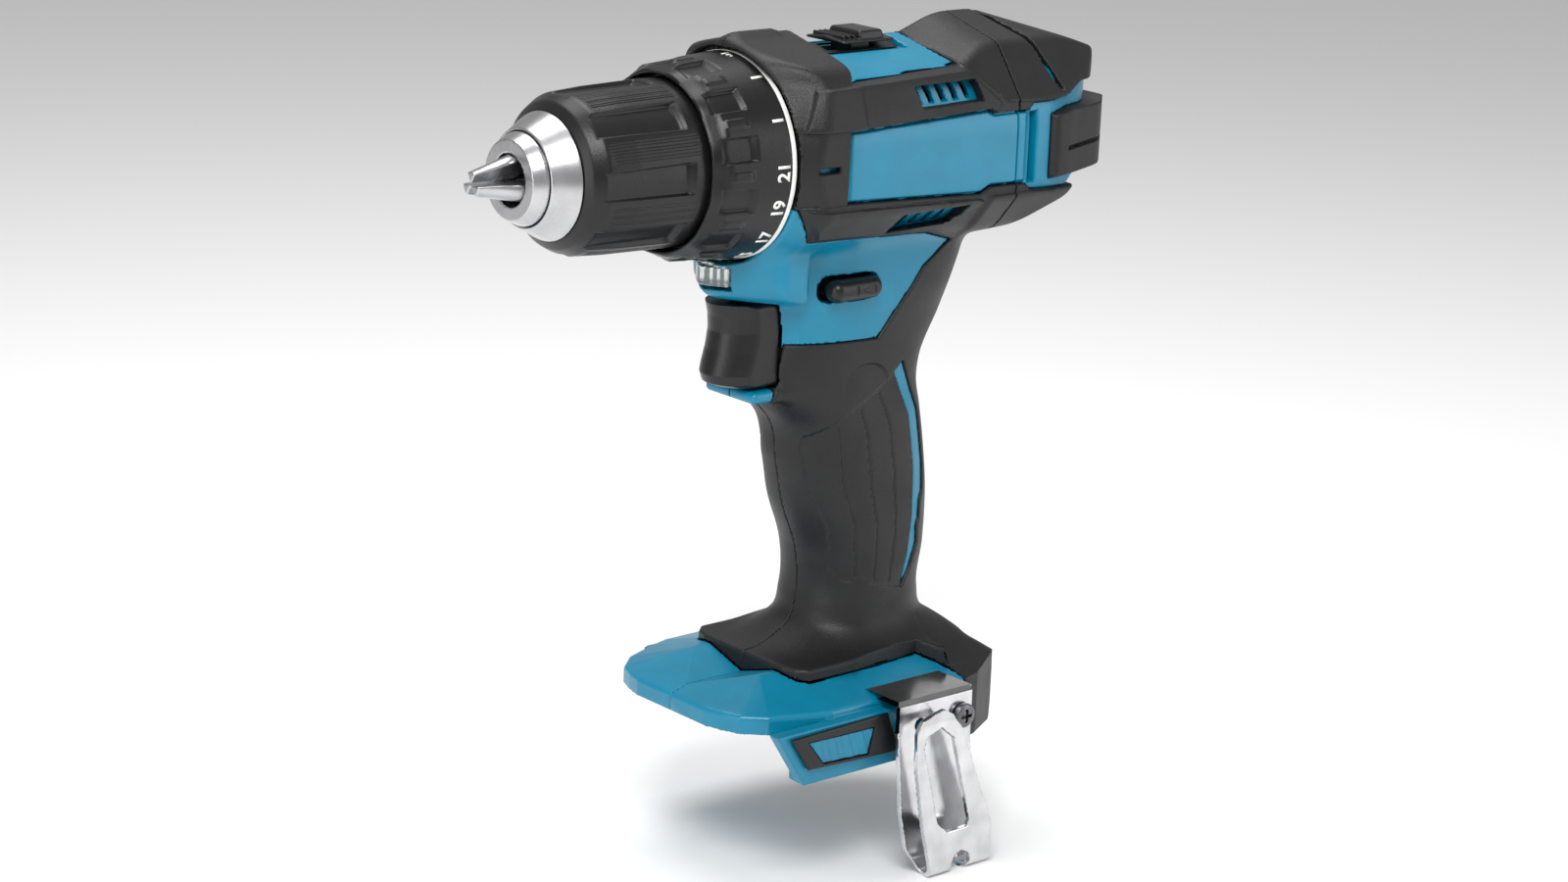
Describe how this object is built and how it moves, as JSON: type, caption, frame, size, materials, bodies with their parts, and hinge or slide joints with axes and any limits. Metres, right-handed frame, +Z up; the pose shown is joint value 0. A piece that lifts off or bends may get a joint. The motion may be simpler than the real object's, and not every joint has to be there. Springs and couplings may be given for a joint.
{
  "type": "cordless drill",
  "caption": "Pistol-grip cordless drill driver body with keyless chuck, torque ring, speed knob, trigger, direction lever, steel belt clip and open battery foot.",
  "frame": {"origin": "centre of the battery seat, the flat underside of the foot between the two skirts", "axes": "-X along the spindle towards the chuck, +X to the rear, -Y is the left side with the belt clip, +Z up the handle"},
  "size_m": [0.2056, 0.0972, 0.2254],
  "materials": {
    "teal_plastic": "semi-gloss moulded plastic",
    "overmould_rubber": "soft satin overmould",
    "black_plastic": "fine-textured black plastic",
    "satin_steel": "satin turned steel",
    "dark_steel": "dark oiled steel",
    "bright_strip": "bright rolled spring steel",
    "copper": "copper",
    "brass": "satin",
    "ceramic_magnet": "matt ferrite",
    "circuit_board": "solder resist",
    "clear_lens": "clear polished plastic"
  },
  "bodies": {
    "housing": {"housing_left": "teal_plastic", "housing_right": "teal_plastic", "rear_cover": "teal_plastic", "grip_left": "overmould_rubber", "grip_right": "overmould_rubber", "rear_bumper": "overmould_rubber", "foot_badge_left": "black_plastic", "foot_badge_right": "black_plastic", "terminal_holder": "black_plastic", "switch_body": "black_plastic", "gear_case_rear": "black_plastic", "brush_holder": "black_plastic", "spindle_bearing": "satin_steel", "front_bearing": "satin_steel", "rear_bearing": "satin_steel", "clutch_spring": "satin_steel", "gear_case_front": "dark_steel", "ring_gear_1": "dark_steel", "ring_gear_2": "dark_steel", "motor_can": "dark_steel", "clip_screw": "dark_steel", "housing_screw_1": "dark_steel", "housing_screw_2": "dark_steel", "housing_screw_3": "dark_steel", "housing_screw_4": "dark_steel", "housing_screw_5": "dark_steel", "belt_clip": "bright_strip", "terminal_blade_left": "copper", "terminal_blade_right": "copper", "brush_upper": "copper", "brush_lower": "copper", "magnet_ring": "ceramic_magnet", "led_board": "circuit_board", "led_lens": "clear_lens"},
    "rotor": {"motor_shaft": "satin_steel", "armature": "copper", "commutator": "brass", "cooling_fan": "black_plastic", "motor_pinion": "satin_steel"},
    "stage_1_carrier": {"carrier_1": "dark_steel"},
    "stage_1_planet_1": {"planet_gear_1_1": "satin_steel"},
    "stage_1_planet_2": {"planet_gear_1_2": "satin_steel"},
    "stage_1_planet_3": {"planet_gear_1_3": "satin_steel"},
    "chuck": {"carrier_2": "dark_steel", "spindle": "satin_steel", "chuck_body": "satin_steel"},
    "stage_2_planet_1": {"planet_gear_2_1": "satin_steel"},
    "stage_2_planet_2": {"planet_gear_2_2": "satin_steel"},
    "stage_2_planet_3": {"planet_gear_2_3": "satin_steel"},
    "chuck_sleeve": {"chuck_sleeve": "black_plastic", "sleeve_cone": "satin_steel", "chuck_nut": "dark_steel"},
    "jaw_1": {"jaw_1": "satin_steel"},
    "jaw_2": {"jaw_2": "satin_steel"},
    "jaw_3": {"jaw_3": "satin_steel"},
    "torque_ring": {"torque_ring": "black_plastic", "clutch_nut": "black_plastic"},
    "speed_knob": {"speed_knob": "black_plastic"},
    "trigger": {"trigger": "black_plastic"},
    "direction_lever": {"direction_lever": "black_plastic"}
  },
  "joints": [
    {"name": "rotor_spin", "type": "hinge", "parent": "housing", "child": "rotor", "pos_m": [0, 0, 0.151], "axis": [-1, 0, 0], "continuous": true},
    {"name": "stage_1_carrier_spin", "type": "hinge", "parent": "housing", "child": "stage_1_carrier", "pos_m": [-0.017, 0, 0.151], "axis": [-1, 0, 0], "continuous": true},
    {"name": "chuck_spin", "type": "hinge", "parent": "housing", "child": "chuck", "pos_m": [-0.08, 0, 0.151], "axis": [-1, 0, 0], "continuous": true},
    {"name": "stage_1_planet_1_spin", "type": "hinge", "parent": "stage_1_carrier", "child": "stage_1_planet_1", "pos_m": [-0.0107, 0.012, 0.151], "axis": [-1, 0, 0], "continuous": true},
    {"name": "stage_1_planet_2_spin", "type": "hinge", "parent": "stage_1_carrier", "child": "stage_1_planet_2", "pos_m": [-0.0107, -0.006, 0.16139], "axis": [-1, 0, 0], "continuous": true},
    {"name": "stage_1_planet_3_spin", "type": "hinge", "parent": "stage_1_carrier", "child": "stage_1_planet_3", "pos_m": [-0.0107, -0.006, 0.14061], "axis": [-1, 0, 0], "continuous": true},
    {"name": "stage_2_planet_1_spin", "type": "hinge", "parent": "chuck", "child": "stage_2_planet_1", "pos_m": [-0.0245, 0.012, 0.151], "axis": [-1, 0, 0], "continuous": true},
    {"name": "stage_2_planet_2_spin", "type": "hinge", "parent": "chuck", "child": "stage_2_planet_2", "pos_m": [-0.0245, -0.006, 0.16139], "axis": [-1, 0, 0], "continuous": true},
    {"name": "stage_2_planet_3_spin", "type": "hinge", "parent": "chuck", "child": "stage_2_planet_3", "pos_m": [-0.0245, -0.006, 0.14061], "axis": [-1, 0, 0], "continuous": true},
    {"name": "sleeve_turn", "type": "hinge", "parent": "chuck", "child": "chuck_sleeve", "pos_m": [-0.083, 0, 0.151], "axis": [-1, 0, 0], "range_deg": [0, 3600]},
    {"name": "jaw_1_slide", "type": "slide", "parent": "chuck", "child": "jaw_1", "axis": [0.9636, 0, 0.2672], "range_m": [0, 0.0243]},
    {"name": "jaw_2_slide", "type": "slide", "parent": "chuck", "child": "jaw_2", "axis": [0.9636, -0.2314, -0.1336], "range_m": [0, 0.0243]},
    {"name": "jaw_3_slide", "type": "slide", "parent": "chuck", "child": "jaw_3", "axis": [0.9636, 0.2314, -0.1336], "range_m": [0, 0.0243]},
    {"name": "torque_ring_turn", "type": "hinge", "parent": "housing", "child": "torque_ring", "pos_m": [-0.055, 0, 0.151], "axis": [-1, 0, 0], "range_deg": [0, 290]},
    {"name": "speed_shift", "type": "slide", "parent": "housing", "child": "speed_knob", "axis": [1, 0, 0], "range_m": [-0.008, 0]},
    {"name": "trigger_pull", "type": "slide", "parent": "housing", "child": "trigger", "axis": [1, 0, 0], "range_m": [0, 0.006], "stiffness_N_per_m": 700, "springref_m": -0.003},
    {"name": "direction_shift", "type": "slide", "parent": "housing", "child": "direction_lever", "axis": [0, 1, 0], "range_m": [-0.0035, 0.0035]}
  ],
  "couplings": [
    {"joint": "stage_1_carrier_spin", "follows": "rotor_spin", "ratio": 0.20833},
    {"joint": "chuck_spin", "follows": "rotor_spin", "ratio": 0.043403},
    {"joint": "stage_1_planet_1_spin", "follows": "rotor_spin", "ratio": -0.56548},
    {"joint": "stage_1_planet_2_spin", "follows": "rotor_spin", "ratio": -0.56548},
    {"joint": "stage_1_planet_3_spin", "follows": "rotor_spin", "ratio": -0.56548},
    {"joint": "stage_2_planet_1_spin", "follows": "rotor_spin", "ratio": -0.11781},
    {"joint": "stage_2_planet_2_spin", "follows": "rotor_spin", "ratio": -0.11781},
    {"joint": "stage_2_planet_3_spin", "follows": "rotor_spin", "ratio": -0.11781},
    {"joint": "jaw_1_slide", "follows": "sleeve_turn", "m_per_rad": 0.0003867},
    {"joint": "jaw_2_slide", "follows": "sleeve_turn", "m_per_rad": 0.0003867},
    {"joint": "jaw_3_slide", "follows": "sleeve_turn", "m_per_rad": 0.0003867}
  ]
}
